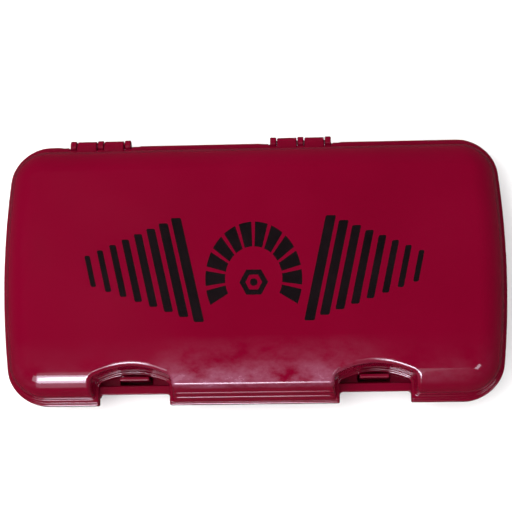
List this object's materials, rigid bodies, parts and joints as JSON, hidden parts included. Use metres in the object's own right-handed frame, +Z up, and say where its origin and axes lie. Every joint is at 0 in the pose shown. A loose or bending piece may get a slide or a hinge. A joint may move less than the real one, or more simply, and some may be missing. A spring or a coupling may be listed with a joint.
{
  "type": "mouthguard with case",
  "caption": "Flat oblong hinged case with finger notches, snap tongues and a ribbed lift lip, holding a horseshoe mouthguard.",
  "frame": {"origin": "middle of the flat underside of the base, midway between the flange's ends and between its front and rear edges", "axes": "+X along the case to the right as seen with the latches towards the viewer, -Y towards the latches and +Y towards the hinges, +Z up out of the lid"},
  "size_m": [0.151, 0.081, 0.022],
  "materials": {
    "case_plastic": "glossy moulded plastic, deep crimson, lightly scratched",
    "pin_steel": "drawn wire",
    "guard_frame": "smooth firm rubber, satin",
    "guard_liner": "soft mouldable liner, satin",
    "guard_pad": "soft rubber, satin"
  },
  "bodies": {
    "base": {"case_base": "case_plastic", "hinge_pin_left": "pin_steel", "hinge_pin_right": "pin_steel", "mouthguard_frame": "guard_frame", "mouthguard_liner": "guard_liner", "bite_pad_left": "guard_pad", "bite_pad_right": "guard_pad"},
    "lid": {"case_lid": "case_plastic"},
    "latch_left": {"latch_tongue_left": "case_plastic"},
    "latch_right": {"latch_tongue_right": "case_plastic"}
  },
  "joints": [
    {"name": "lid_hinge", "type": "hinge", "parent": "base", "child": "lid", "pos_m": [0, 0.0397, 0.011], "axis": [-1, 0, 0], "range_deg": [0, 180]},
    {"name": "latch_left_flex", "type": "hinge", "parent": "base", "child": "latch_left", "pos_m": [-0.0354, -0.032, 0.0026], "axis": [1, 0, 0], "range_deg": [0, 5], "stiffness_Nm_per_rad": 0.3},
    {"name": "latch_right_flex", "type": "hinge", "parent": "base", "child": "latch_right", "pos_m": [0.0354, -0.032, 0.0026], "axis": [1, 0, 0], "range_deg": [0, 5], "stiffness_Nm_per_rad": 0.3}
  ]
}
